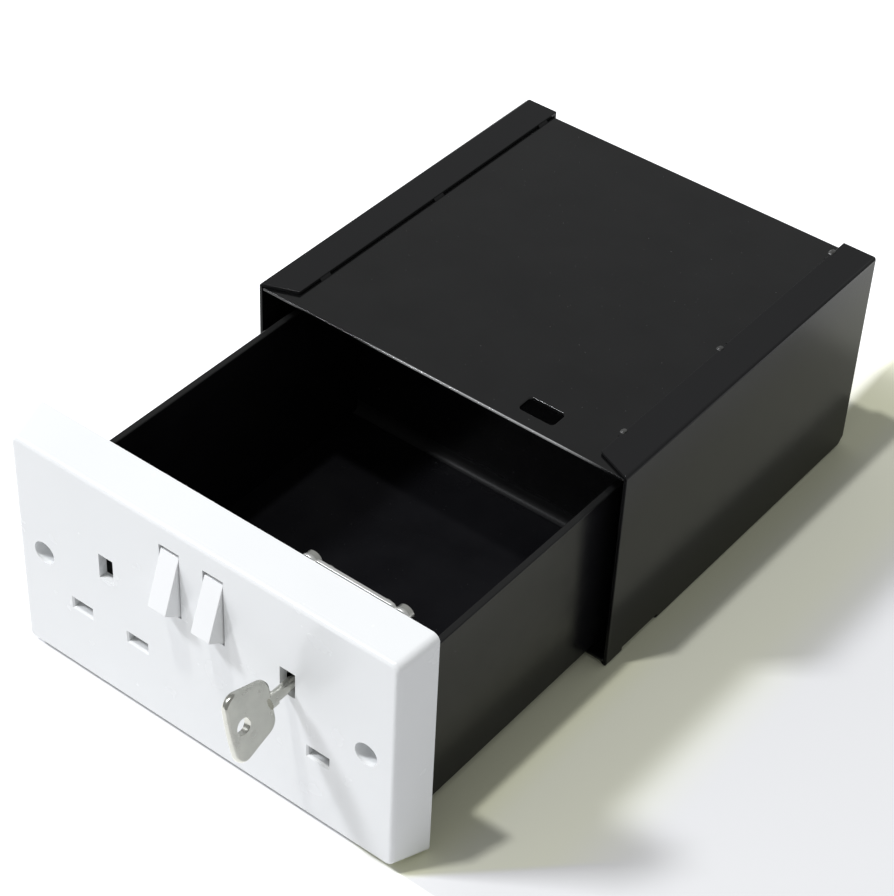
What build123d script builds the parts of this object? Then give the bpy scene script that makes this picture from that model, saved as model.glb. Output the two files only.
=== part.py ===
"""A small safe disguised as a white double wall socket.

A drawer of folded black steel hides behind a moulded socket plate and slides into a folded steel
case. A drawer lock sits behind the right earth slot, and its bolt rises into a slot in the case's
top. The drawer stands part open with the key in the lock, turned to draw the bolt.

Millimetres. X is to the right seen from the front, Y runs from the plate into the case and Z is up.
The origin is on the surface that the safe stands on, under the middle of its length and width.
"""

import os
from math import cos, radians, sin

from build123d import *

# Plate
plate_width = 146.0
plate_height = 86.0
plate_depth = 13.5
plate_side_draft = 2.9
plate_top_draft = 3.6
plate_corner_radius = 2.4
plate_edge_radius = 1.5
plate_skin = 3.0
plate_wall = 2.6
plate_hollow_radius = 2.0
fixing_inset = 12.7
fixing_radius = 3.9
fixing_depth = 5.0
fixing_boss_wall = 1.6
boss_radius = 3.6
boss_low_z = 15.0
boss_gap = 0.6
boss_pilot_radius = 1.3
boss_pilot_depth = 8.5
rib_thickness = 1.4
rib_height = 3.0
rib_inset = 3.1
rib_gap = 1.2

# Outlets
outlet_spacing = 67.65
outlet_middle_x = -1.275
earth_slot_width = 5.5
earth_slot_height = 9.2
earth_slot_rise = 1.3
earth_to_live = 22.2
live_slot_width = 7.4
live_slot_height = 3.7
live_slot_spacing = 21.8
slot_rim = 0.5
shutter_margin = 3.6
shutter_thickness = 1.6

# Switches
switch_spacing = 16.1
switch_middle_x = -1.95
switch_slot_width = 7.5
switch_slot_height = 24.3
switch_top_inset = 10.9
switch_side_gap = 0.35
switch_top_gap = 1.55
switch_bottom_gap = 0.55
rocker_proud = 6.0
rocker_sunk = 0.4
rocker_lip_height = 4.5
rocker_heel_drop = 2.0
rocker_inner_depth = 5.6
rocker_back_depth = 3.4
rocker_edge_radius = 0.5
pivot_depth = 4.4
pivot_drop = 0.5
pivot_radius = 1.2
pivot_clearance = 0.06
cradle_cheek = 2.3
cradle_base = 2.0
cradle_half_height = 6.0
cradle_gap = 0.6

# Case
case_width = 138.4
case_height = 76.8
case_depth = 138.0
sheet = 1.2
flange_width = 12.4
flange_clip = 4.7
bend_radius = 1.1
relief_start = 8.5
relief_length = 18.5
relief_depth = 2.0
corner_clip = 4.0
tack_leg = 0.9
tack_length = 4.5
tack_shares = [0.12, 0.53, 0.94]
back_hole_radius = 2.3
back_hole_spacing_x = 90.0
back_hole_spacing_z = 40.0
guide_height = 8.0
guide_setback = 14.0

# Drawer
drawer_opening = 90.6
drawer_half_width = 62.5
drawer_length = 131.0
drawer_top = 65.0
drawer_front_rise = 0.5
drawer_rear_drop = 2.5
drawer_clearance = 0.3
closed_gap = 0.3
hem_height = 9.0
hem_thickness = 1.1
rim_radius = 0.45
tray_flange = 10.0
tray_bend_radius = 3.6

# Lock
lock_depth = 14.1
lock_width = 28.4
lock_rise = 18.4
lock_height = 35.0
lock_wall_front = 2.8
lock_cover_thickness = 1.3
lock_corner_radius = 1.5
ear_radius = 3.0
ear_overhang = 2.1
barrel_radius = 8.0
barrel_clearance = 0.3
plug_radius = 5.5
running_gap = 0.06
plug_setback = 5.0
plug_flange_radius = 6.4
plug_flange_thickness = 1.0
cam_radius = 7.2
cam_thickness = 1.4
crank_radius = 5.66
lock_turn_deg = 90.0
crank_pin_radius = 1.2
bolt_centre = 8.7
bolt_width = 11.0
bolt_thickness = 5.2
bolt_tail_width = 17.0
bolt_tail_height = 9.5
bolt_tail_drop = 4.0
bolt_clearance = 0.3
bolt_nose_radius = 0.8
bolt_sink = 1.0
strike_width = 12.5
strike_length = 6.5
strike_radius = 1.3
wafer_count = 4
wafer_thickness = 0.8
wafer_pitch = 1.4
wafer_width = 5.2
wafer_slack = 0.05

# Screws
screw_radius = 1.5
screw_head_radius = 2.8
screw_head_height = 1.7
screw_hole_gap = 0.3
screw_recess_depth = 0.9
plate_screw_radius = 1.25
plate_screw_length = 8.0
cover_screw_radius = 1.1
cover_screw_head_radius = 2.0
cover_screw_length = 5.0
cover_hole_inset = 4.0

# Key
key_reach = 24.0
key_z = 50.6
key_turn_deg = 12.0
key_shank_radius = 1.75
key_bow_length = 17.0
key_bow_width = 25.0
key_bow_neck = 16.0
key_bow_thickness = 2.3
key_bow_radius = 4.0
key_hole_radius = 2.6
key_hole_inset = 5.2
key_bow_bulge = 0.8
key_edge_radius = 0.9
key_collar_radius = 2.3
key_collar_length = 1.2
key_blade_width = 3.6
key_blade_thickness = 1.7
key_blade_length = 8.5
key_notch_depth = 0.8
key_slack = 0.1

# One overrun serves every cut that has to pass right through
overrun = 5.0

# Places along Y, from the key's end to the back of the case
total_length = key_reach + plate_depth + drawer_opening + case_depth
case_back_y = total_length / 2
case_front_y = case_back_y - case_depth
plate_back_y = case_front_y - drawer_opening
plate_front_y = plate_back_y - plate_depth
skin_back_y = plate_front_y + plate_skin
drawer_wall_y = plate_back_y + sheet
drawer_rear_y = plate_back_y + drawer_length

# Places across and up
case_half = case_width / 2
wall_inner_x = case_half - sheet
wrap_bottom = sheet
wrap_top = case_height - sheet
case_floor_z = wrap_bottom + sheet
case_roof_z = wrap_top - sheet
wrap_back_y = case_back_y - sheet
drawer_bottom = case_floor_z + drawer_clearance
tray_floor_z = drawer_bottom + sheet
tray_inner_x = drawer_half_width - sheet
earth_slot_z = key_z + earth_slot_rise
live_slot_z = earth_slot_z - earth_to_live
outlet_left_x = outlet_middle_x - outlet_spacing / 2
outlet_right_x = outlet_middle_x + outlet_spacing / 2
lock_x = outlet_right_x
lock_top = key_z + lock_rise
lock_bottom = lock_top - lock_height
lock_half = lock_width / 2
drawer_front_top = lock_top + drawer_front_rise
bolt_top = lock_top - bolt_sink
strike_y = case_front_y + closed_gap + bolt_centre
bolt_y = plate_back_y + bolt_centre


def block(x, y, z, mode=Mode.ADD):
    """A box between its low and high places along each axis."""
    with Locations(((x[0] + x[1]) / 2, (y[0] + y[1]) / 2, (z[0] + z[1]) / 2)):
        Box(x[1] - x[0], y[1] - y[0], z[1] - z[0], mode=mode)


def upright(y):
    """A plane across the safe at a depth, with X to the right, Z up and its normal towards the front."""
    return Plane(origin=(0, y, 0), x_dir=(1, 0, 0), z_dir=(0, -1, 0))


def rod(x, z, radius, y_low, y_high, mode=Mode.ADD):
    """A round bar along Y."""
    with BuildSketch(upright(y_high)) as section:
        with Locations((x, z)):
            Circle(radius)
    extrude(section.sketch, amount=y_high - y_low, mode=mode)


def screw(x, z, y_seat, length, radius, head_radius):
    """A pan-head screw driven towards the front, its head seated at y_seat."""
    rod(x, z, radius, y_seat - length, y_seat)
    rod(x, z, head_radius, y_seat, y_seat + screw_head_height)
    with BuildSketch(upright(y_seat + screw_head_height)) as cross:
        with Locations((x, z)):
            Rectangle(head_radius, head_radius / 4)
            Rectangle(head_radius / 4, head_radius)
    extrude(cross.sketch, amount=screw_recess_depth, mode=Mode.SUBTRACT)


def keep(name, shape):
    """Label a finished piece and write its file."""
    shape.label = name
    export_step(shape, f"parts/{name}.step")


os.makedirs("parts", exist_ok=True)

# Case wrap: one strip bent into the bottom, back and top
with BuildPart() as case_wrap:
    with BuildSketch(Plane.YZ.offset(-wall_inner_x)):
        with BuildLine():
            Polyline(
                (case_front_y, wrap_bottom),
                (wrap_back_y, wrap_bottom),
                (wrap_back_y, wrap_top),
                (case_front_y, wrap_top),
                (case_front_y, case_roof_z),
                (wrap_back_y - sheet, case_roof_z),
                (wrap_back_y - sheet, case_floor_z),
                (case_front_y, case_floor_z),
                close=True,
            )
        make_face()
    extrude(amount=2 * wall_inner_x)
    wrap_bends = case_wrap.edges().filter_by(Axis.X).group_by(Axis.Y)[-1]
    fillet(wrap_bends, bend_radius)
    with BuildSketch(Plane.XY.offset(case_roof_z - overrun)):
        with Locations((lock_x, strike_y)):
            RectangleRounded(strike_width, strike_length, strike_radius)
    extrude(amount=2 * overrun, mode=Mode.SUBTRACT)
    with BuildSketch(upright(wrap_back_y + overrun)):
        with Locations((0, case_height / 2)):
            with GridLocations(back_hole_spacing_x, back_hole_spacing_z, 2, 2):
                Circle(back_hole_radius)
    extrude(amount=2 * overrun, mode=Mode.SUBTRACT)
keep("case_wrap", case_wrap.part)

# Side panels: pans whose flanges fold over the top, back and bottom of the wrap
flange_inner_x = case_half - flange_width
with BuildPart() as side_panel_right:
    block((flange_inner_x, case_half), (case_front_y, case_back_y), (0, case_height))
    outer_bends = side_panel_right.edges().filter_by(Axis.Y).group_by(Axis.X)[-1]
    back_bend = side_panel_right.edges().filter_by(Axis.Z).group_by(Axis.X)[-1].sort_by(Axis.Y)[-1]
    fillet([*outer_bends, back_bend], bend_radius)
    block(
        (flange_inner_x - overrun, wall_inner_x),
        (case_front_y - overrun, wrap_back_y),
        (wrap_bottom, wrap_top),
        mode=Mode.SUBTRACT,
    )
    with BuildSketch(Plane.XY.offset(-overrun)):
        with BuildLine():
            Polyline(
                (case_half - bend_radius / 2, case_front_y),
                (flange_inner_x, case_front_y + flange_clip),
                (flange_inner_x - overrun, case_front_y + flange_clip),
                (flange_inner_x - overrun, case_front_y - overrun),
                (case_half - bend_radius / 2, case_front_y - overrun),
                close=True,
            )
        make_face()
    extrude(amount=overrun + sheet, mode=Mode.SUBTRACT)
    with BuildSketch(Plane.XY.offset(wrap_top)):
        with BuildLine():
            Polyline(
                (case_half - bend_radius / 2, case_front_y),
                (flange_inner_x, case_front_y + flange_clip),
                (flange_inner_x - overrun, case_front_y + flange_clip),
                (flange_inner_x - overrun, case_front_y - overrun),
                (case_half - bend_radius / 2, case_front_y - overrun),
                close=True,
            )
        make_face()
    extrude(amount=overrun + sheet, mode=Mode.SUBTRACT)
    block(
        (case_half - bend_radius - sheet, case_half + overrun),
        (case_front_y + relief_start, case_front_y + relief_start + relief_length),
        (-overrun, relief_depth),
        mode=Mode.SUBTRACT,
    )
    with BuildSketch(Plane.YZ.offset(case_half - flange_width - overrun)):
        with BuildLine():
            Polyline(
                (case_back_y - corner_clip, -overrun),
                (case_back_y - corner_clip, 0),
                (case_back_y, corner_clip),
                (case_back_y + overrun, corner_clip),
                (case_back_y + overrun, -overrun),
                close=True,
            )
        make_face()
    extrude(amount=flange_width + 2 * overrun, mode=Mode.SUBTRACT)
keep("side_panel_right", side_panel_right.part)

with BuildPart() as side_panel_left:
    mirror(side_panel_right.part, about=Plane.YZ)
keep("side_panel_left", side_panel_left.part)

# Weld tacks: short beads in the corner between each top flange and the wrap
with BuildPart() as weld_tacks:
    for side in (-1, 1):
        for share in tack_shares:
            tack_y = case_front_y + share * case_depth
            with BuildSketch(Plane.XZ.offset(-tack_y - tack_length / 2)):
                with BuildLine():
                    Polyline(
                        (side * flange_inner_x, wrap_top),
                        (side * (flange_inner_x - tack_leg), wrap_top),
                        (side * flange_inner_x, wrap_top + tack_leg),
                        close=True,
                    )
                make_face()
            extrude(amount=tack_length)
keep("weld_tacks", weld_tacks.part)

# Guides: angles on the case floor that keep the drawer central
guide_x = drawer_half_width + drawer_clearance
with BuildPart() as guide_right:
    guide_run = (case_front_y + guide_setback, wrap_back_y - sheet)
    block((guide_x, wall_inner_x), guide_run, (case_floor_z, case_floor_z + sheet))
    block((guide_x, guide_x + sheet), guide_run, (case_floor_z, case_floor_z + guide_height))
keep("drawer_guide_right", guide_right.part)

with BuildPart() as guide_left:
    mirror(guide_right.part, about=Plane.YZ)
keep("drawer_guide_left", guide_left.part)

# Faceplate: a drafted, hollow moulding with the sockets' slots
front_width = plate_width - 2 * plate_side_draft
front_height = plate_height - 2 * plate_top_draft
hollow_width = front_width - 2 * plate_wall
hollow_height = front_height - 2 * plate_wall
plate_z = plate_height / 2
boss_x = lock_x + lock_half + screw_head_radius + boss_gap
boss_high_z = (lock_bottom + lock_top) / 2
boss_places = [(side * boss_x, z) for side in (-1, 1) for z in (boss_low_z, boss_high_z)]
fixing_x = plate_width / 2 - fixing_inset
fixing_places = [(side * fixing_x, plate_z) for side in (-1, 1)]
fixing_floor_y = plate_front_y + fixing_depth
switch_slot_top = plate_height - switch_top_inset
switch_slot_bottom = switch_slot_top - switch_slot_height
rib_places = (plate_z - hollow_height / 2 + rib_inset, switch_slot_top + rib_gap)
switch_places = [switch_middle_x + side * switch_spacing / 2 for side in (-1, 1)]
with BuildPart() as faceplate:
    with BuildSketch(upright(plate_back_y)):
        with Locations((0, plate_z)):
            RectangleRounded(plate_width, plate_height, plate_corner_radius)
    with BuildSketch(upright(plate_front_y)):
        with Locations((0, plate_z)):
            RectangleRounded(front_width, front_height, plate_corner_radius)
    loft()
    front_rim = faceplate.faces().sort_by(Axis.Y)[0].edges()
    fillet(front_rim, plate_edge_radius)
    with BuildSketch(upright(plate_back_y)):
        with Locations((0, plate_z)):
            RectangleRounded(hollow_width, hollow_height, plate_hollow_radius)
    extrude(amount=plate_depth - plate_skin, mode=Mode.SUBTRACT)
    for x, z in boss_places:
        rod(x, z, boss_radius, skin_back_y, plate_back_y)
        rod(x, z, boss_pilot_radius, plate_back_y - boss_pilot_depth, plate_back_y, Mode.SUBTRACT)
    for x, z in fixing_places:
        rod(x, z, fixing_radius + fixing_boss_wall, skin_back_y, fixing_floor_y + fixing_boss_wall)
        rod(x, z, fixing_radius, plate_front_y - overrun, fixing_floor_y, Mode.SUBTRACT)
    for z in rib_places:
        block(
            (-hollow_width / 2, hollow_width / 2),
            (skin_back_y, skin_back_y + rib_height),
            (z, z + rib_thickness),
        )
    for x in (outlet_left_x, outlet_right_x):
        block(
            (x - earth_slot_width / 2, x + earth_slot_width / 2),
            (plate_front_y - overrun, skin_back_y),
            (earth_slot_z - earth_slot_height / 2, earth_slot_z + earth_slot_height / 2),
            mode=Mode.SUBTRACT,
        )
        for side in (-1, 1):
            live_x = x + side * live_slot_spacing / 2
            block(
                (live_x - live_slot_width / 2, live_x + live_slot_width / 2),
                (plate_front_y - overrun, skin_back_y),
                (live_slot_z - live_slot_height / 2, live_slot_z + live_slot_height / 2),
                mode=Mode.SUBTRACT,
            )
            with BuildSketch(upright(plate_front_y)):
                with Locations((live_x, live_slot_z)):
                    Rectangle(live_slot_width + 2 * slot_rim, live_slot_height + 2 * slot_rim)
            with BuildSketch(upright(plate_front_y + slot_rim)):
                with Locations((live_x, live_slot_z)):
                    Rectangle(live_slot_width, live_slot_height)
            loft(mode=Mode.SUBTRACT)
    for x in switch_places:
        block(
            (x - switch_slot_width / 2, x + switch_slot_width / 2),
            (plate_front_y - overrun, skin_back_y),
            (switch_slot_bottom, switch_slot_top),
            mode=Mode.SUBTRACT,
        )
keep("faceplate", faceplate.part)

# Shutters: plates behind the live and neutral slots
shutter_half_x = live_slot_spacing / 2 + live_slot_width / 2 + shutter_margin
shutter_half_z = live_slot_height / 2 + shutter_margin
for side_name, x in (("left", outlet_left_x), ("right", outlet_right_x)):
    with BuildPart() as shutter:
        block(
            (x - shutter_half_x, x + shutter_half_x),
            (skin_back_y, skin_back_y + shutter_thickness),
            (live_slot_z - shutter_half_z, live_slot_z + shutter_half_z),
        )
    keep(f"socket_shutter_{side_name}", shutter.part)

# Switch cradle: cheeks that carry the rockers' pin, on a base against the drawer's front wall
pivot_y = plate_front_y + pivot_depth
pivot_z = (switch_slot_bottom + switch_slot_top) / 2 - pivot_drop
slot_half_x = switch_slot_width / 2
cheek_outer = switch_spacing / 2 + slot_half_x + cradle_gap + cradle_cheek
cheek_inner = switch_spacing / 2 - slot_half_x - cradle_gap / 2
with BuildPart() as switch_cradle:
    cradle_z = (pivot_z - cradle_half_height, pivot_z + cradle_half_height)
    block(
        (switch_middle_x - cheek_outer, switch_middle_x + cheek_outer),
        (plate_back_y - cradle_base, plate_back_y),
        cradle_z,
    )
    for low, high in (
        (-cheek_outer, cradle_cheek - cheek_outer),
        (-cheek_inner, cheek_inner),
        (cheek_outer - cradle_cheek, cheek_outer),
    ):
        block(
            (switch_middle_x + low, switch_middle_x + high),
            (skin_back_y, plate_back_y - cradle_base),
            cradle_z,
        )
    with Locations(Location((switch_middle_x, pivot_y, pivot_z), (0, 90, 0))):
        Cylinder(pivot_radius + pivot_clearance, 2 * cheek_outer + overrun, mode=Mode.SUBTRACT)
keep("switch_cradle", switch_cradle.part)

with BuildPart() as switch_pin:
    with Locations(Location((switch_middle_x, pivot_y, pivot_z), (0, 90, 0))):
        Cylinder(pivot_radius, 2 * cheek_outer)
keep("switch_pin", switch_pin.part)

# Rockers: wedges on the pin, their lower ends standing proud
rocker_half_x = slot_half_x - switch_side_gap
rocker_top = switch_slot_top - switch_top_gap
rocker_bottom = switch_slot_bottom + switch_bottom_gap
for side_name, x in zip(("left", "right"), switch_places):
    with BuildPart() as rocker:
        with BuildSketch(Plane.YZ.offset(x - rocker_half_x)):
            with BuildLine():
                Polyline(
                    (plate_front_y + rocker_sunk, rocker_top),
                    (plate_front_y - rocker_proud, rocker_bottom + rocker_lip_height),
                    (plate_front_y + rocker_sunk, rocker_bottom),
                    (plate_front_y + rocker_inner_depth, rocker_bottom + rocker_heel_drop),
                    (pivot_y + rocker_back_depth, pivot_z),
                    (plate_front_y + rocker_inner_depth, rocker_top - rocker_heel_drop),
                    close=True,
                )
            make_face()
        extrude(amount=2 * rocker_half_x)
        lip = rocker.edges().filter_by(Axis.X).sort_by(Axis.Y)[0]
        fillet(lip, rocker_edge_radius)
        with Locations(Location((x, pivot_y, pivot_z), (0, 90, 0))):
            Cylinder(pivot_radius + pivot_clearance, 2 * rocker_half_x + overrun, mode=Mode.SUBTRACT)
    keep(f"rocker_{side_name}", rocker.part)

# Lock places, shared by the pieces that hold it
lock_front_y = drawer_wall_y
lock_rear_y = plate_back_y + sheet + lock_depth
ear_x = lock_half + ear_overhang
ear_heights = (lock_bottom + ear_radius, lock_top - ear_radius)
ear_places = [(lock_x + side * ear_x, z) for side in (-1, 1) for z in ear_heights]
cover_y = lock_rear_y - lock_cover_thickness
barrel_front_y = skin_back_y + plug_setback

# Drawer wrap: one strip bent into the front wall, floor and rear wall
with BuildPart() as drawer_wrap:
    with BuildSketch(Plane.YZ.offset(-tray_inner_x)):
        with BuildLine():
            Polyline(
                (plate_back_y, tray_floor_z),
                (drawer_rear_y, tray_floor_z),
                (drawer_rear_y, drawer_top - drawer_rear_drop),
                (drawer_rear_y - sheet, drawer_top - drawer_rear_drop),
                (drawer_rear_y - sheet, tray_floor_z + sheet),
                (drawer_wall_y, tray_floor_z + sheet),
                (drawer_wall_y, drawer_front_top),
                (plate_back_y, drawer_front_top),
                close=True,
            )
        make_face()
    extrude(amount=2 * tray_inner_x)
    inner_bends = drawer_wrap.edges().filter_by(Axis.X).group_by(Axis.Z)[1]
    fillet(inner_bends, tray_bend_radius - sheet)
    outer_bends = drawer_wrap.edges().filter_by(Axis.X).group_by(Axis.Z)[0]
    fillet(outer_bends, tray_bend_radius)
    barrel_hole = barrel_radius + barrel_clearance
    rod(lock_x, key_z, barrel_hole, plate_back_y - overrun, drawer_wall_y, Mode.SUBTRACT)
    for x, z in ear_places:
        rod(x, z, screw_radius + screw_hole_gap, plate_back_y - overrun, drawer_wall_y, Mode.SUBTRACT)
    for x, z in boss_places:
        rod(x, z, plate_screw_radius + screw_hole_gap, plate_back_y - overrun, drawer_wall_y, Mode.SUBTRACT)
keep("drawer_wrap", drawer_wrap.part)

# Drawer sides: plain walls with a hemmed rim and a flange under the floor
with BuildPart() as drawer_side_right:
    block((tray_inner_x, drawer_half_width), (plate_back_y, drawer_rear_y), (drawer_bottom, drawer_top))
    side_bend = drawer_side_right.edges().filter_by(Axis.Y).sort_by(Axis.X)[-2:].sort_by(Axis.Z)[0]
    fillet(side_bend, bend_radius)
    block(
        (tray_inner_x - tray_flange, tray_inner_x),
        (plate_back_y + tray_bend_radius, drawer_rear_y - tray_bend_radius),
        (drawer_bottom, tray_floor_z),
    )
    block(
        (tray_inner_x - hem_thickness, tray_inner_x),
        (drawer_wall_y, drawer_rear_y - sheet),
        (drawer_top - hem_height, drawer_top),
    )
    rim_edges = drawer_side_right.edges().filter_by(Axis.Y).group_by(Axis.Z)[-1]
    fillet(rim_edges.sort_by(SortBy.LENGTH)[-2:], rim_radius)
keep("drawer_side_right", drawer_side_right.part)

with BuildPart() as drawer_side_left:
    mirror(drawer_side_right.part, about=Plane.YZ)
keep("drawer_side_left", drawer_side_left.part)

# Plate screws: driven from inside the drawer into the plate's bosses
with BuildPart() as plate_screws:
    for x, z in boss_places:
        screw(x, z, drawer_wall_y, plate_screw_length, plate_screw_radius, screw_head_radius)
keep("plate_screws", plate_screws.part)

# Lock body: a block behind the front wall, with its barrel through the wall and a screw post at each corner
tail_half = bolt_tail_width / 2 + bolt_clearance
neck_half = bolt_width / 2 + bolt_clearance
bolt_front_y = bolt_y - bolt_thickness / 2
bolt_rear_y = bolt_y + bolt_thickness / 2
bolt_throw = 2 * crank_radius * sin(radians(lock_turn_deg / 2))
crank_low_z = key_z - bolt_throw / 2
tail_low = crank_low_z - bolt_tail_drop
tail_high = tail_low + bolt_tail_height
cam_front_y = lock_front_y + lock_wall_front
cam_rear_y = cam_front_y + cam_thickness
cover_hole_x = lock_half - cover_hole_inset
cover_hole_low = lock_bottom + cover_hole_inset
cover_hole_high = lock_top - cover_hole_inset
cover_heights = (cover_hole_low, cover_hole_high)
cover_places = [(lock_x + side * cover_hole_x, z) for side in (-1, 1) for z in cover_heights]
with BuildPart() as lock_body:
    with BuildSketch(upright(cover_y)):
        with Locations((lock_x, (lock_bottom + lock_top) / 2)):
            RectangleRounded(lock_width, lock_height, lock_corner_radius)
    extrude(amount=cover_y - lock_front_y)
    for x, z in ear_places:
        rod(x, z, ear_radius, lock_front_y, cover_y)
    rod(lock_x, key_z, barrel_radius, barrel_front_y, lock_front_y)
    rod(lock_x, key_z, plug_radius + running_gap, barrel_front_y - overrun, cover_y, Mode.SUBTRACT)
    rod(
        lock_x,
        key_z,
        plug_flange_radius + running_gap,
        barrel_front_y - overrun,
        barrel_front_y + plug_flange_thickness + running_gap,
        Mode.SUBTRACT,
    )
    rod(lock_x, key_z, cam_radius + bolt_clearance, cam_front_y, cover_y, Mode.SUBTRACT)
    block(
        (lock_x - tail_half, lock_x + tail_half),
        (bolt_front_y - bolt_clearance, cover_y),
        (tail_low - bolt_clearance, tail_high + bolt_throw + bolt_clearance),
        mode=Mode.SUBTRACT,
    )
    block(
        (lock_x - neck_half, lock_x + neck_half),
        (bolt_front_y - bolt_clearance, cover_y),
        (tail_high, lock_top + overrun),
        mode=Mode.SUBTRACT,
    )
    for x, z in ear_places:
        rod(x, z, screw_radius + screw_hole_gap, lock_front_y - overrun, cover_y, Mode.SUBTRACT)
    for x, z in cover_places:
        rod(x, z, cover_screw_radius, cover_y - cover_screw_length, cover_y, Mode.SUBTRACT)
keep("lock_body", lock_body.part)

# Lock cover: closes the back of the body, with a pad that keeps the bolt in its channel
pad_y = (bolt_rear_y + bolt_clearance, cover_y)
pad_high = lock_top - bolt_tail_height
with BuildPart() as lock_cover:
    with BuildSketch(upright(lock_rear_y)):
        with Locations((lock_x, (lock_bottom + lock_top) / 2)):
            RectangleRounded(lock_width, lock_height, lock_corner_radius)
    extrude(amount=lock_cover_thickness)
    for x, z in ear_places:
        rod(x, z, ear_radius, cover_y, lock_rear_y)
    block((lock_x - bolt_width / 2, lock_x + bolt_width / 2), pad_y, (tail_low, pad_high))
    for x, z in ear_places:
        rod(x, z, screw_radius + screw_hole_gap, cover_y - overrun, lock_rear_y, Mode.SUBTRACT)
    for x, z in cover_places:
        rod(x, z, cover_screw_radius, cover_y - overrun, lock_rear_y, Mode.SUBTRACT)
keep("lock_cover", lock_cover.part)

with BuildPart() as cover_screws:
    for x, z in cover_places:
        screw(x, z, lock_rear_y, cover_screw_length, cover_screw_radius, cover_screw_head_radius)
keep("lock_cover_screws", cover_screws.part)

with BuildPart() as lock_screws:
    for x, z in ear_places:
        screw(x, z, lock_rear_y, lock_depth + sheet, screw_radius, screw_head_radius)
keep("lock_screws", lock_screws.part)

# Bolt: a square nose on a wider tail, with a slot for the crank pin
crank_x = crank_radius * cos(radians(lock_turn_deg / 2))
slot_low_x = lock_x + crank_x - crank_pin_radius - bolt_clearance
slot_high_x = lock_x + crank_radius + crank_pin_radius + bolt_clearance
slot_half_z = crank_pin_radius + bolt_clearance
with BuildPart() as lock_bolt:
    block(
        (lock_x - bolt_tail_width / 2, lock_x + bolt_tail_width / 2),
        (bolt_front_y, bolt_rear_y),
        (tail_low, tail_high),
    )
    block(
        (lock_x - bolt_width / 2, lock_x + bolt_width / 2),
        (bolt_front_y, bolt_rear_y),
        (tail_high, bolt_top),
    )
    nose = lock_bolt.faces().sort_by(Axis.Z)[-1].edges()
    fillet(nose, bolt_nose_radius)
    block(
        (slot_low_x, slot_high_x),
        (bolt_front_y - overrun, bolt_rear_y + overrun),
        (crank_low_z - slot_half_z, crank_low_z + slot_half_z),
        mode=Mode.SUBTRACT,
    )
keep("lock_bolt", lock_bolt.part)

# Plug: turns in the barrel with the key, whose plane leans a little from upright
lean = radians(key_turn_deg)


def key_plane(y):
    """A plane square to the key's axis, turned with the key, its normal towards the front."""
    return Plane(origin=(lock_x, y, key_z), x_dir=(cos(lean), 0, sin(lean)), z_dir=(0, -1, 0))


blade_front_y = barrel_front_y
wafer_start_y = barrel_front_y + 2 * plug_flange_thickness
wafer_places = [wafer_start_y + (n + 1) * wafer_pitch for n in range(wafer_count)]
wafer_half_height = plug_radius - wafer_thickness
keyway = (key_blade_thickness + 2 * key_slack, key_blade_width + 2 * key_slack)
with BuildPart() as lock_plug:
    rod(lock_x, key_z, plug_flange_radius, barrel_front_y, barrel_front_y + plug_flange_thickness)
    rod(lock_x, key_z, plug_radius, barrel_front_y + plug_flange_thickness, cam_front_y)
    with BuildSketch(key_plane(barrel_front_y - overrun)):
        Rectangle(*keyway)
    extrude(amount=-(overrun + key_blade_length + key_slack), mode=Mode.SUBTRACT)
    for y in wafer_places:
        with BuildSketch(key_plane(y)):
            Rectangle(wafer_width, 2 * wafer_half_height)
        extrude(amount=-wafer_thickness, mode=Mode.SUBTRACT)
keep("lock_plug", lock_plug.part)

# Wafers: thin plates across the plug, each with a window for the blade
with BuildPart() as lock_wafers:
    for y in wafer_places:
        with BuildSketch(key_plane(y + wafer_slack)):
            Rectangle(wafer_width - 2 * wafer_slack, 2 * wafer_half_height - 2 * wafer_slack)
            Rectangle(*keyway, mode=Mode.SUBTRACT)
        extrude(amount=2 * wafer_slack - wafer_thickness)
keep("lock_wafers", lock_wafers.part)

# Cam: a disc on the plug's end whose crank pin lifts the bolt
with BuildPart() as lock_cam:
    rod(lock_x, key_z, cam_radius, cam_front_y, cam_rear_y)
    rod(lock_x + crank_x, crank_low_z, crank_pin_radius, cam_rear_y, bolt_rear_y)
keep("lock_cam", lock_cam.part)

# Key: a flat bow on a round shank, with a notched blade in the plug
key_front_y = plate_front_y - key_reach
bow_rear_y = key_front_y + key_bow_length
bow_half = key_bow_width / 2
neck_half_width = key_bow_neck / 2
with BuildPart() as key:
    bow_plane = Plane(
        origin=(lock_x, key_front_y, key_z),
        x_dir=(0, 1, 0),
        z_dir=(cos(lean), 0, sin(lean)),
    )
    with BuildSketch(bow_plane):
        with BuildLine():
            Polyline(
                (key_bow_bulge, -bow_half),
                (key_bow_length, -neck_half_width),
                (key_bow_length, neck_half_width),
                (key_bow_bulge, bow_half),
            )
            ThreePointArc((key_bow_bulge, bow_half), (0, 0), (key_bow_bulge, -bow_half))
        make_face()
        fillet(vertices(), key_bow_radius)
        with Locations((key_hole_inset, 0)):
            Circle(key_hole_radius, mode=Mode.SUBTRACT)
    extrude(amount=key_bow_thickness / 2, both=True)
    bow_edges = key.faces().sort_by(Axis.X)[0].edges() + key.faces().sort_by(Axis.X)[-1].edges()
    fillet(bow_edges, key_edge_radius)
    rod(lock_x, key_z, key_shank_radius, bow_rear_y - key_collar_length, blade_front_y)
    rod(lock_x, key_z, key_collar_radius, bow_rear_y - key_collar_length, bow_rear_y + key_collar_length)
    with BuildSketch(bow_plane):
        with Locations((blade_front_y + key_blade_length / 2 - key_front_y, 0)):
            Rectangle(key_blade_length, key_blade_width)
        for y in wafer_places:
            with Locations((y - key_front_y, key_blade_width / 2)):
                Rectangle(key_notch_depth, key_notch_depth, rotation=45, mode=Mode.SUBTRACT)
    extrude(amount=key_blade_thickness / 2, both=True)
keep("key", key.part)

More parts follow.
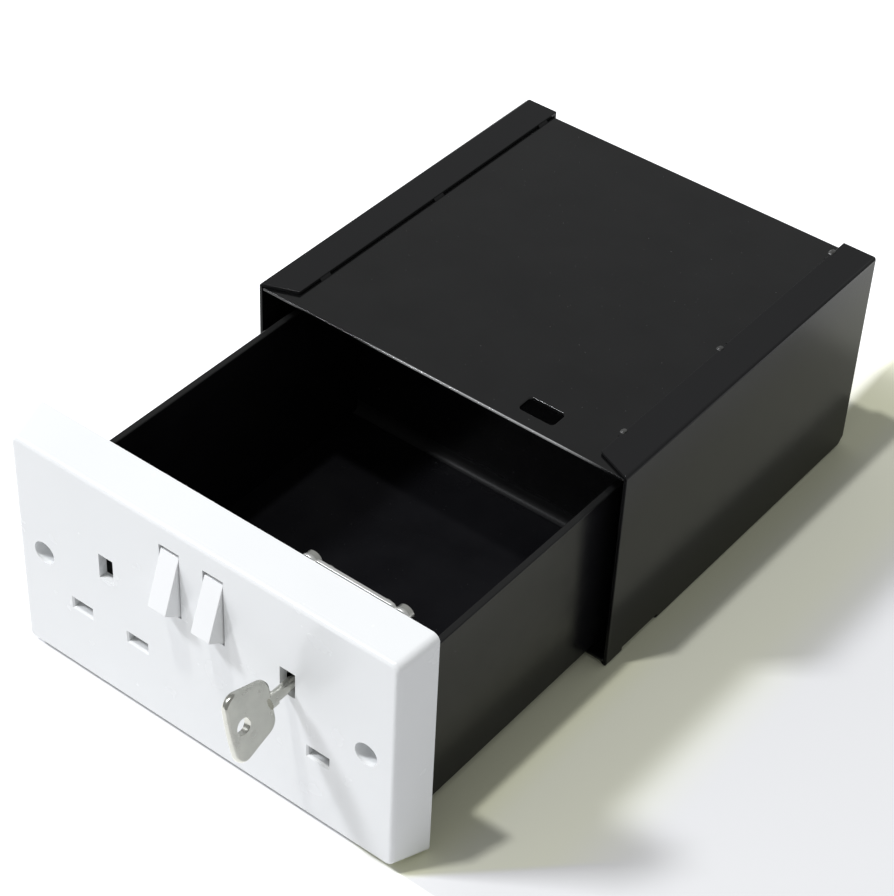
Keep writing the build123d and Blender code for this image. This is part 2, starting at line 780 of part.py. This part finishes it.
print("bolt throw", round(bolt_throw, 3), "mm over", lock_turn_deg, "degrees of the key")
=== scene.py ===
"""Looks of the outlet diversion safe: finishes, softened edges, studio and camera.

Metres, in the part's own frame.
"""

from math import cos, radians, sin

import bmesh
import bpy
from mathutils import Matrix, Vector
from mathutils.noise import noise as hill


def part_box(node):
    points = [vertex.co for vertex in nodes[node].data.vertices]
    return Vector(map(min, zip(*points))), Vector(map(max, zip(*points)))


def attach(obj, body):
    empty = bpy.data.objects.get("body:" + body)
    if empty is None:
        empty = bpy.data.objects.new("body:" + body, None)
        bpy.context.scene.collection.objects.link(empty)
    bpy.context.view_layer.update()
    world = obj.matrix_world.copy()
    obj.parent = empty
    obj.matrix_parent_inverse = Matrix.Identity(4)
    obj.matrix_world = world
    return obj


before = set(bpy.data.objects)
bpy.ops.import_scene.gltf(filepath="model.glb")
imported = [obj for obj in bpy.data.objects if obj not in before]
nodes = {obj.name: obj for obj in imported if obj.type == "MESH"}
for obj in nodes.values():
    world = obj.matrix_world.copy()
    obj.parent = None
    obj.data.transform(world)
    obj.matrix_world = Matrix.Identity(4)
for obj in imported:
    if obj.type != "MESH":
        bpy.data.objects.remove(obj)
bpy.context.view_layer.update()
scene = bpy.context.scene

MM = 0.001

# Camera, fitted to the photograph from the plate's and the case's corners
PHOTO_WIDTH = 894
SENSOR = 36.0
FOCAL_PIXELS = 2469.2
CLIP_START = 10.0 * MM
AZIMUTH = radians(36.29)
ELEVATION = radians(40.93)
ROLL = radians(2.90)
DISTANCE = 760.19 * MM
AIM_X = -2.57 * MM
AIM_FROM_PLATE = 115.14 * MM
AIM_Z = 40.0 * MM

# Lamps: direction of travel, distance, size, power and colour
LAMPS = {
    "ceiling_light": ((0.17, 0.25, -1.0), 4.0, 0.17, 57.5, (1.0, 1.0, 0.99)),
    "window_light": ((0.65, 0.56, -1.0), 3.0, 0.36, 54.5, (0.94, 0.96, 1.0)),
}
WORLD_COLOUR = (0.985, 1.0, 1.0)
WORLD_STRENGTH = 0.35

# Floor paper: tones, and where along X it carries a painted yellow-green shadow tint, deeper close
# beside the case
PAPER_NEUTRAL = ((0.775, 0.775, 0.785), (0.79, 0.79, 0.80))
PAPER_SHADOW_TINT = ((0.785, 0.79, 0.67), (0.80, 0.805, 0.685))
PAPER_DEEP_SHADOW_TINT = (0.785, 0.79, 0.60)
PAPER_ROUGHNESS = 0.8
PAPER_SPECULAR = 0.2
FLOOR_HALF = 6.0
SHADOW_TINT_START_X = 50.0 * MM
SHADOW_TINT_FULL_X = 60.0 * MM
SHADOW_TINT_DEEP_X = 72.0 * MM
SHADOW_TINT_DEEP_END_X = 84.0 * MM
SHADOW_TINT_FADE_X = 98.0 * MM
SHADOW_TINT_END_X = 122.0 * MM
SHADOW_TINT_BLUR = 4.0 * MM

# Floor: where it shows plain white
WHITE_LIFT = 0.6
WHITE_BLUR = 3.0 * MM
CONTACT_LINE = 2.6 * MM
CONTACT_BLUR = 1.2 * MM
WHITE_BEHIND_X = 60.0 * MM
WHITE_BACK_START = 20.0 * MM
WHITE_BACK_END = 110.0 * MM
WHITE_FRONT_REACH = 35.0 * MM

# Noises: features per metre, detail and roughness
COAT_CLOUD = (60.0, 3.0, 0.5)
COAT_DUST = (1500.0, 1.0, 0.5)
COAT_GLOSS = (140.0, 4.0, 0.6)
COAT_PEEL = (900.0, 2.0, 0.5)
EDGE_HIGHLIGHT_BREAKS = (400.0, 3.0, 0.6)
PLASTIC_DRIFT = (25.0, 2.0, 0.5)
PLASTIC_GLOSS = (90.0, 3.0, 0.5)
PLASTIC_WAVES = (22.0, 1.0, 0.5)
METAL_CLOUD = (180.0, 4.0, 0.6)
PAPER_TONE = (4.0, 2.0, 0.5)
SCRATCH_DETAIL = 3.0
SCRATCH_ROUGHNESS = 0.5

# Noise values between which one tone turns into the other
TONE_LOW = 0.3
TONE_HIGH = 0.7
CLOUD_HIGH = 0.75
DUST_LOW = 0.80
DUST_HIGH = 0.84
DUST_LIFT = 0.10

# Bumps: strength and height
PEEL_STRENGTH = 0.03
PEEL_HEIGHT = 0.4 * MM
WAVE_HEIGHT = 2.0 * MM
SCRATCH_STRENGTH = 0.12
SCRATCH_HEIGHT = 0.3 * MM

# Powder coats: dark tone, light tone, least and most roughness, specular level
DRAWER_COAT = ((0.006, 0.006, 0.007), (0.009, 0.009, 0.0102), 0.20, 0.27, 0.16)
COATS = {
    "case_coat": ((0.0025, 0.0025, 0.0027), (0.0045, 0.0045, 0.0047), 0.13, 0.19, 0.5),
    "side_coat": ((0.006, 0.006, 0.0063), (0.008, 0.008, 0.0084), 0.13, 0.19, 0.14),
    "drawer_coat": DRAWER_COAT,
    "strip_coat": DRAWER_COAT,
    # weld beads: a coat far paler than the flange's, a painted highlight for the light the beads
    # catch
    "bead_highlight_coat": ((0.035, 0.035, 0.034), (0.06, 0.06, 0.058), 0.20, 0.35, 0.5),
}

# Plastics: first tone, second tone, least and most roughness, strength of the waves
PLASTICS = {
    "white_plastic": ((0.79, 0.80, 0.805), (0.775, 0.785, 0.79), 0.20, 0.28, 0.03),
    "rocker_plastic": ((0.825, 0.83, 0.835), (0.805, 0.81, 0.815), 0.18, 0.25, 0.02),
    # the shutters' dark grey is painted shade: it stands for the shade inside the live slots
    "shutter_plastic": ((0.19, 0.20, 0.19), (0.16, 0.17, 0.16), 0.4, 0.5, 0.05),
}

# Metals: first tone, second tone, least and most roughness, scratches per metre and their stretch
EVEN = (1.0, 1.0, 1.0)
ALONG_Y = (1.0, 0.25, 1.0)
ALONG_Z = (1.0, 1.0, 0.5)
METALS = {
    "key_nickel": ((0.54, 0.54, 0.49), (0.47, 0.47, 0.43), 0.20, 0.30, 700.0, ALONG_Y),
    "lock_casting": ((0.90, 0.90, 0.88), (0.80, 0.80, 0.78), 0.35, 0.50, 500.0, ALONG_Z),
    "lock_dark_casting": ((0.16, 0.16, 0.16), (0.11, 0.11, 0.11), 0.35, 0.50, 500.0, ALONG_Z),
    "zinc_plate": ((0.66, 0.66, 0.62), (0.56, 0.56, 0.53), 0.28, 0.40, 900.0, EVEN),
    "wafer_brass": ((0.72, 0.56, 0.30), (0.62, 0.47, 0.24), 0.30, 0.42, 800.0, EVEN),
}

# Which pieces each finish is on
FINISHED = {
    "case_coat": ("case_wrap", "drawer_guide_left", "drawer_guide_right"),
    "side_coat": ("side_panel_left", "side_panel_right", "weld_tacks"),
    "drawer_coat": ("drawer_side_left", "drawer_side_right"),
    "strip_coat": ("drawer_wrap",),
    "white_plastic": ("faceplate", "switch_cradle"),
    "rocker_plastic": ("rocker_left", "rocker_right"),
    "shutter_plastic": ("socket_shutter_left", "socket_shutter_right"),
    "key_nickel": ("key",),
    "lock_casting": ("lock_cover", "lock_bolt", "lock_cam", "lock_plug"),
    "lock_dark_casting": ("lock_body",),
    "zinc_plate": ("switch_pin", "plate_screws", "lock_cover_screws", "lock_screws"),
    "wafer_brass": ("lock_wafers",),
}

# Painted highlight along the front edge of the case's top, in broken lengths, brightest near the
# middle
EDGE_HIGHLIGHT_MIDDLE_X = 15.0 * MM
EDGE_HIGHLIGHT_FULL = 24.0 * MM
EDGE_HIGHLIGHT_END = 50.0 * MM
EDGE_HIGHLIGHT_DEPTH = 0.25 * MM
EDGE_HIGHLIGHT_HEIGHT = 0.75 * MM
EDGE_HIGHLIGHT_BLUR = 0.15 * MM
EDGE_HIGHLIGHT_GAPS = 0.10
EDGE_HIGHLIGHT_SOLID = 0.45
# colour of the painted highlight on the front edge
PAINTED_EDGE_HIGHLIGHT = (0.34, 0.34, 0.34)

# Tops of the flanges and of the drawer's rim: painted light, a paler coat colour than on the upright
# faces
FLANGE_DEPTH = 1.3 * MM
FLANGE_PAINTED_LIGHT = (0.0135, 0.0135, 0.014)
RIM_DEPTH = 0.8 * MM
RIM_PAINTED_LIGHT = (0.0135, 0.0135, 0.0135)

# Rear bend of the drawer's strip, where the coat is duller and carries a paler painted highlight
# that fades upward
BEND_REACH = 3.6 * MM
BEND_BLUR = 0.7 * MM
BEND_FADE = 4.0 * MM
BEND_DULL = (0.45, 0.45, 0.45)
BEND_PAINTED_HIGHLIGHT = (0.028, 0.028, 0.0285)

# Weld beads on the right flange: place along Y, half width and half length
BEADS = (
    (10.9 * MM, 0.9 * MM, 1.2 * MM),
    (61.5 * MM, 1.0 * MM, 1.2 * MM),
    (125.8 * MM, 1.0 * MM, 1.5 * MM),
)
BEAD_FINENESS = 3
BEAD_RISE = 0.45 * MM
BEAD_GRAIN = 1.6
BEAD_LUMP = 0.35

# Softened edges: how wide each piece's rounding is
SEAM = 0.02 * MM
FLAT_ANGLE = radians(1.0)
SHARP_ANGLE = radians(35.0)
ROUNDING_STEPS = 2
EDGE_WIDTHS = {
    "case_wrap": 0.50 * MM,
    "side_panel_left": 0.25 * MM,
    "side_panel_right": 0.25 * MM,
    "drawer_wrap": 0.25 * MM,
    "drawer_side_left": 0.25 * MM,
    "drawer_side_right": 0.25 * MM,
    "rocker_left": 0.20 * MM,
    "rocker_right": 0.20 * MM,
    "lock_body": 0.20 * MM,
    "lock_cover": 0.20 * MM,
    "lock_bolt": 0.20 * MM,
}

plate_low, plate_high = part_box("faceplate")
case_low, case_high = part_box("side_panel_right")
wrap_low, wrap_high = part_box("case_wrap")
strip_low, strip_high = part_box("drawer_wrap")
rim_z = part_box("drawer_side_right")[1].z
lit_point = Vector((case_high.x, (plate_low.y + case_high.y) / 2, case_high.z / 2))


def make_camera():
    """The photograph's camera: aimed at a point behind the plate's front face, rolled a little."""
    level = cos(ELEVATION)
    forward = Vector((-sin(AZIMUTH) * level, cos(AZIMUTH) * level, -sin(ELEVATION)))
    right = forward.cross(Vector((0, 0, 1))).normalized()
    up = right.cross(forward)
    rolled_right = right * cos(ROLL) + up * sin(ROLL)
    rolled_up = up * cos(ROLL) - right * sin(ROLL)
    aim = Vector((AIM_X, plate_low.y + AIM_FROM_PLATE, AIM_Z))
    data = bpy.data.cameras.new("camera")
    data.sensor_fit = "HORIZONTAL"
    data.sensor_width = SENSOR
    data.lens = FOCAL_PIXELS * SENSOR / PHOTO_WIDTH
    data.clip_start = CLIP_START
    camera = bpy.data.objects.new("camera", data)
    turn = Matrix((rolled_right, rolled_up, -forward)).transposed().to_4x4()
    camera.matrix_world = Matrix.Translation(aim - forward * DISTANCE) @ turn
    scene.collection.objects.link(camera)
    scene.camera = camera


def new_material(name):
    """An empty node material and its Principled shader."""
    material = bpy.data.materials.new(name)
    material.use_nodes = True
    tree = material.node_tree
    return material, tree, tree.nodes["Principled BSDF"]


def noise(tree, scale, detail, roughness, stretch=None):
    """Noise in object coordinates, so it stays on the piece; stretch scales each axis."""
    place = tree.nodes.new("ShaderNodeTexCoord").outputs["Object"]
    if stretch is not None:
        mapping = tree.nodes.new("ShaderNodeMapping")
        mapping.inputs["Scale"].default_value = stretch
        tree.links.new(place, mapping.inputs["Vector"])
        place = mapping.outputs["Vector"]
    made = tree.nodes.new("ShaderNodeTexNoise")
    made.inputs["Scale"].default_value = scale
    made.inputs["Detail"].default_value = detail
    made.inputs["Roughness"].default_value = roughness
    tree.links.new(place, made.inputs["Vector"])
    return made.outputs["Fac"]


def ramp(tree, source, first, second, start=TONE_LOW, end=TONE_HIGH):
    """A ramp from a first tone to a second; each is a colour or a grey."""
    made = tree.nodes.new("ShaderNodeValToRGB")
    elements = made.color_ramp.elements
    for element, place, tone in zip(elements, (start, end), (first, second)):
        element.position = place
        colour = tone if isinstance(tone, tuple) else (tone, tone, tone)
        element.color = (*colour, 1.0)
    tree.links.new(source, made.inputs["Fac"])
    return made.outputs["Color"]


def bump(tree, source, strength, height):
    """A bump normal from a height."""
    made = tree.nodes.new("ShaderNodeBump")
    made.inputs["Strength"].default_value = strength
    made.inputs["Distance"].default_value = height
    tree.links.new(source, made.inputs["Height"])
    return made.outputs["Normal"]


def blurred_step(tree, source, low, high):
    """A number that goes smoothly from 0 at the low value to 1 at the high one."""
    made = tree.nodes.new("ShaderNodeMapRange")
    made.interpolation_type = "SMOOTHSTEP"
    made.inputs["From Min"].default_value = low
    made.inputs["From Max"].default_value = high
    tree.links.new(source, made.inputs["Value"])
    return made.outputs["Result"]


def combine(tree, operation, first, second):
    """Two shader numbers combined by one operation."""
    made = tree.nodes.new("ShaderNodeMath")
    made.operation = operation
    for socket, value in zip(made.inputs, (first, second)):
        if isinstance(value, float):
            socket.default_value = value
        else:
            tree.links.new(value, socket)
    return made.outputs["Value"]


def place_of(tree):
    """The X, Y and Z of a point in its object's own space."""
    place = tree.nodes.new("ShaderNodeTexCoord")
    split = tree.nodes.new("ShaderNodeSeparateXYZ")
    tree.links.new(place.outputs["Object"], split.inputs["Vector"])
    return split.outputs["X"], split.outputs["Y"], split.outputs["Z"]


def mix_colours(tree, share, first, second):
    """The first colour where the share is 0 and the second where it is 1."""
    made = tree.nodes.new("ShaderNodeMix")
    made.data_type = "RGBA"
    tree.links.new(share, made.inputs["Factor"])
    for socket, value in ((made.inputs["A"], first), (made.inputs["B"], second)):
        if isinstance(value, tuple):
            socket.default_value = (*value, 1.0)
        else:
            tree.links.new(value, socket)
    return made.outputs["Result"]


def change_where(material, share, socket_name, colour):
    """Mixes a colour over what a shader's socket has, where the share is 1."""
    tree = material.node_tree
    socket = tree.nodes["Principled BSDF"].inputs[socket_name]
    before = socket.links[0].from_socket
    tree.links.new(mix_colours(tree, share, before, colour), socket)


def powder_coat(name, dark, light, rough_low, rough_high, specular):
    """Black powder coat: faint orange peel, uneven gloss and a few pale specks of dust."""
    material, tree, shader = new_material(name)
    colour = ramp(tree, noise(tree, *COAT_CLOUD), dark, light, end=CLOUD_HIGH)
    dust = ramp(tree, noise(tree, *COAT_DUST), 0.0, DUST_LIFT, DUST_LOW, DUST_HIGH)
    dusted = tree.nodes.new("ShaderNodeMix")
    dusted.data_type = "RGBA"
    dusted.blend_type = "ADD"
    dusted.inputs["Factor"].default_value = 1.0
    tree.links.new(colour, dusted.inputs["A"])
    tree.links.new(dust, dusted.inputs["B"])
    tree.links.new(dusted.outputs["Result"], shader.inputs["Base Color"])
    gloss = ramp(tree, noise(tree, *COAT_GLOSS), rough_low, rough_high)
    tree.links.new(gloss, shader.inputs["Roughness"])
    peel = bump(tree, noise(tree, *COAT_PEEL), PEEL_STRENGTH, PEEL_HEIGHT)
    tree.links.new(peel, shader.inputs["Normal"])
    shader.inputs["Specular IOR Level"].default_value = specular
    return material


def moulded_plastic(name, first, second, rough_low, rough_high, wave_strength):
    """Moulded plastic: slight colour drift, uneven gloss and a face that isn't quite flat."""
    material, tree, shader = new_material(name)
    drift = ramp(tree, noise(tree, *PLASTIC_DRIFT), first, second)
    tree.links.new(drift, shader.inputs["Base Color"])
    gloss = ramp(tree, noise(tree, *PLASTIC_GLOSS), rough_low, rough_high)
    tree.links.new(gloss, shader.inputs["Roughness"])
    waves = bump(tree, noise(tree, *PLASTIC_WAVES), wave_strength, WAVE_HEIGHT)
    tree.links.new(waves, shader.inputs["Normal"])
    return material


def worn_metal(name, first, second, rough_low, rough_high, grain, stretch):
    """Plated metal: cloudy tone, fine directional scratches and uneven gloss."""
    material, tree, shader = new_material(name)
    cloud = noise(tree, *METAL_CLOUD)
    tree.links.new(ramp(tree, cloud, first, second), shader.inputs["Base Color"])
    tree.links.new(ramp(tree, cloud, rough_low, rough_high), shader.inputs["Roughness"])
    scratch = noise(tree, grain, SCRATCH_DETAIL, SCRATCH_ROUGHNESS, stretch)
    scratches = bump(tree, scratch, SCRATCH_STRENGTH, SCRATCH_HEIGHT)
    tree.links.new(scratches, shader.inputs["Normal"])
    shader.inputs["Metallic"].default_value = 1.0
    return material


def make_finishes():
    """Every finish by its name."""
    made = {name: powder_coat(name, *look) for name, look in COATS.items()}
    made.update({name: moulded_plastic(name, *look) for name, look in PLASTICS.items()})
    made.update({name: worn_metal(name, *look) for name, look in METALS.items()})
    return made


def paint_front_edge_highlight(material):
    """Paints a highlight in broken lengths along the front edge of the case's top, most in the
    middle.
    """
    tree = material.node_tree
    x, y, z = place_of(tree)
    highlight_y = wrap_low.y + EDGE_HIGHLIGHT_DEPTH
    highlight_z = wrap_high.z - EDGE_HIGHLIGHT_HEIGHT
    front = blurred_step(tree, y, highlight_y + EDGE_HIGHLIGHT_BLUR, highlight_y)
    top = blurred_step(tree, z, highlight_z, highlight_z + EDGE_HIGHLIGHT_BLUR)
    away = combine(tree, "ABSOLUTE", combine(tree, "SUBTRACT", x, EDGE_HIGHLIGHT_MIDDLE_X), 0.0)
    middle = blurred_step(tree, away, EDGE_HIGHLIGHT_END, EDGE_HIGHLIGHT_FULL)
    broken = blurred_step(tree, noise(tree, *EDGE_HIGHLIGHT_BREAKS), EDGE_HIGHLIGHT_GAPS, EDGE_HIGHLIGHT_SOLID)
    edge = combine(tree, "MULTIPLY", front, top)
    highlight_share = combine(tree, "MULTIPLY", middle, broken)
    # painted highlight: pale grey mixed into the coat along the front edge
    change_where(material, combine(tree, "MULTIPLY", edge, highlight_share), "Base Color", PAINTED_EDGE_HIGHLIGHT)


def paint_top_light(material, top, depth, paler):
    """Paints light on a piece's top: within a depth of its top the coat is paler than on its upright
    faces.
    """
    tree = material.node_tree
    above = blurred_step(tree, place_of(tree)[2], top - depth, top - depth / 2)
    # painted light: the top takes a paler coat colour
    change_where(material, above, "Base Color", paler)


def dull_rear_bend_and_paint_highlight(material):
    """The coat is duller where the drawer's strip bends up at the rear, and a paler painted
    highlight is mixed in there.
    """
    tree = material.node_tree
    y, z = place_of(tree)[1:]
    bend_y = strip_high.y - BEND_REACH
    bend_z = strip_low.z + BEND_REACH
    rear = blurred_step(tree, y, bend_y, bend_y + BEND_BLUR)
    low = blurred_step(tree, z, bend_z + BEND_FADE, bend_z - BEND_FADE / 2)
    share = combine(tree, "MULTIPLY", rear, low)
    change_where(material, share, "Roughness", BEND_DULL)
    # painted highlight: paler coat colour in the bend, fading upward
    change_where(material, share, "Base Color", BEND_PAINTED_HIGHLIGHT)


def weld_beads(material):
    """Low uneven beads where the right flange is tacked to the top; their pale coat is a painted
    highlight.
    """
    mesh = bpy.data.meshes.new("weld_beads")
    builder = bmesh.new()
    for y, width, length in BEADS:
        made = bmesh.ops.create_icosphere(builder, subdivisions=BEAD_FINENESS, radius=1.0)
        for vertex in made["verts"]:
            lump = 1.0 + BEAD_LUMP * hill(vertex.co * BEAD_GRAIN + Vector((y, 0.0, 0.0)))
            across = case_low.x + vertex.co.x * width * lump
            along = y + vertex.co.y * length * lump
            vertex.co = (across, along, case_high.z + vertex.co.z * BEAD_RISE * lump)
    for face in builder.faces:
        face.smooth = True
    builder.to_mesh(mesh)
    builder.free()
    mesh.materials.append(material)
    beads = bpy.data.objects.new("weld_beads", mesh)
    scene.collection.objects.link(beads)
    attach(beads, "case")


def soften(node, width):
    """Rounds a piece's sharp edges a little, so that they catch the light."""
    join = node.modifiers.new("join", "WELD")
    join.merge_threshold = SEAM
    flatten = node.modifiers.new("flatten", "DECIMATE")
    flatten.decimate_type = "DISSOLVE"
    flatten.angle_limit = FLAT_ANGLE
    rounding = node.modifiers.new("rounding", "BEVEL")
    rounding.width = width
    rounding.segments = ROUNDING_STEPS
    rounding.limit_method = "ANGLE"
    rounding.angle_limit = SHARP_ANGLE
    rounding.use_clamp_overlap = False
    rounding.harden_normals = True


def shadow_tint_share(tree, x, y):
    """How much painted shadow tint the paper has: in the shadows beside the case and the drawer, and
    not in front of the plate.
    """
    right = blurred_step(tree, x, SHADOW_TINT_START_X, SHADOW_TINT_FULL_X)
    near = blurred_step(tree, x, SHADOW_TINT_END_X, SHADOW_TINT_FADE_X)
    # the slant follows the edge of the plate's shadow
    corner = plate_low.y - plate_high.x
    slant = blurred_step(tree, combine(tree, "SUBTRACT", y, x), corner, corner + SHADOW_TINT_BLUR)
    beyond = blurred_step(tree, y, plate_low.y, plate_low.y + SHADOW_TINT_BLUR)
    tint = combine(tree, "MULTIPLY", right, near)
    tint = combine(tree, "MULTIPLY", tint, slant)
    return combine(tree, "MULTIPLY", tint, beyond)


def white_share(tree, x, y):
    """Where the floor is blown out: to the left, behind, at the back and in front of the plate."""
    left = blurred_step(tree, x, plate_low.x, plate_low.x - WHITE_BLUR)
    inward = blurred_step(tree, x, WHITE_BEHIND_X + WHITE_BLUR, WHITE_BEHIND_X - WHITE_BLUR)
    past_case = blurred_step(tree, y, case_high.y, case_high.y + WHITE_BLUR)
    behind = combine(tree, "MULTIPLY", inward, past_case)
    back = blurred_step(tree, y, case_high.y + WHITE_BACK_START, case_high.y + WHITE_BACK_END)
    contact = plate_low.y + CONTACT_LINE
    before_plate = blurred_step(tree, y, contact, contact - CONTACT_BLUR)
    front_end = blurred_step(tree, x, plate_high.x + WHITE_FRONT_REACH, plate_high.x)
    front = combine(tree, "MULTIPLY", before_plate, front_end)
    white = combine(tree, "MAXIMUM", left, behind)
    white = combine(tree, "MAXIMUM", white, back)
    return combine(tree, "MAXIMUM", white, front)


def make_floor():
    """A pale floor, part of it with a painted yellow-green shadow tint and part seen as plain white.
    """
    mesh = bpy.data.meshes.new("floor")
    builder = bmesh.new()
    bmesh.ops.create_grid(builder, x_segments=1, y_segments=1, size=FLOOR_HALF)
    builder.to_mesh(mesh)
    builder.free()
    floor = bpy.data.objects.new("floor", mesh)
    scene.collection.objects.link(floor)
    material, tree, shader = new_material("floor_paper")
    x, y = place_of(tree)[:2]
    tone = noise(tree, *PAPER_TONE)
    neutral = ramp(tree, tone, *PAPER_NEUTRAL)
    shadow_tinted = ramp(tree, tone, *PAPER_SHADOW_TINT)
    # painted shade: a deeper, less blue tint close beside the case and the drawer
    deep_shadow = blurred_step(tree, x, SHADOW_TINT_DEEP_END_X, SHADOW_TINT_DEEP_X)
    shadow_tinted = mix_colours(tree, deep_shadow, shadow_tinted, PAPER_DEEP_SHADOW_TINT)
    paper = mix_colours(tree, shadow_tint_share(tree, x, y), neutral, shadow_tinted)
    tree.links.new(paper, shader.inputs["Base Color"])
    shader.inputs["Roughness"].default_value = PAPER_ROUGHNESS
    shader.inputs["Specular IOR Level"].default_value = PAPER_SPECULAR
    path = tree.nodes.new("ShaderNodeLightPath")
    shown = combine(tree, "MAXIMUM", path.outputs["Is Camera Ray"], path.outputs["Is Glossy Ray"])
    shown = combine(tree, "MAXIMUM", shown, path.outputs["Is Transmission Ray"])
    seen = combine(tree, "MULTIPLY", white_share(tree, x, y), shown)
    shader.inputs["Emission Color"].default_value = (1.0, 1.0, 1.0, 1.0)
    tree.links.new(combine(tree, "MULTIPLY", seen, WHITE_LIFT), shader.inputs["Emission Strength"])
    mesh.materials.append(material)


def area_light(name, travel, distance, size, power, colour):
    """A square softbox whose light travels along a direction through the lit point."""
    data = bpy.data.lights.new(name, "AREA")
    data.size = size
    data.energy = power
    data.color = colour
    lamp = bpy.data.objects.new(name, data)
    direction = Vector(travel).normalized()
    lamp.location = lit_point - direction * distance
    lamp.rotation_euler = direction.to_track_quat("-Z", "Y").to_euler()
    scene.collection.objects.link(lamp)


def make_world():
    """Even pale light from all around."""
    world = bpy.data.worlds.new("studio")
    world.use_nodes = True
    background = world.node_tree.nodes["Background"]
    background.inputs["Color"].default_value = (*WORLD_COLOUR, 1.0)
    background.inputs["Strength"].default_value = WORLD_STRENGTH
    scene.world = world


make_camera()

finishes = make_finishes()
for finish, names in FINISHED.items():
    for name in names:
        materials = nodes[name].data.materials
        materials.clear()
        materials.append(finishes[finish])
# painted highlight on the case's front edge
paint_front_edge_highlight(finishes["case_coat"])
# painted light on the tops of the flanges and the drawer's rim
paint_top_light(finishes["side_coat"], case_high.z, FLANGE_DEPTH, FLANGE_PAINTED_LIGHT)
paint_top_light(finishes["drawer_coat"], rim_z, RIM_DEPTH, RIM_PAINTED_LIGHT)
# duller coat and painted highlight in the drawer strip's rear bend
dull_rear_bend_and_paint_highlight(finishes["strip_coat"])

for name, width in EDGE_WIDTHS.items():
    soften(nodes[name], width)
weld_beads(finishes["bead_highlight_coat"])

make_floor()
for name, settings in LAMPS.items():
    area_light(name, *settings)
make_world()
scene.view_settings.view_transform = "Standard"
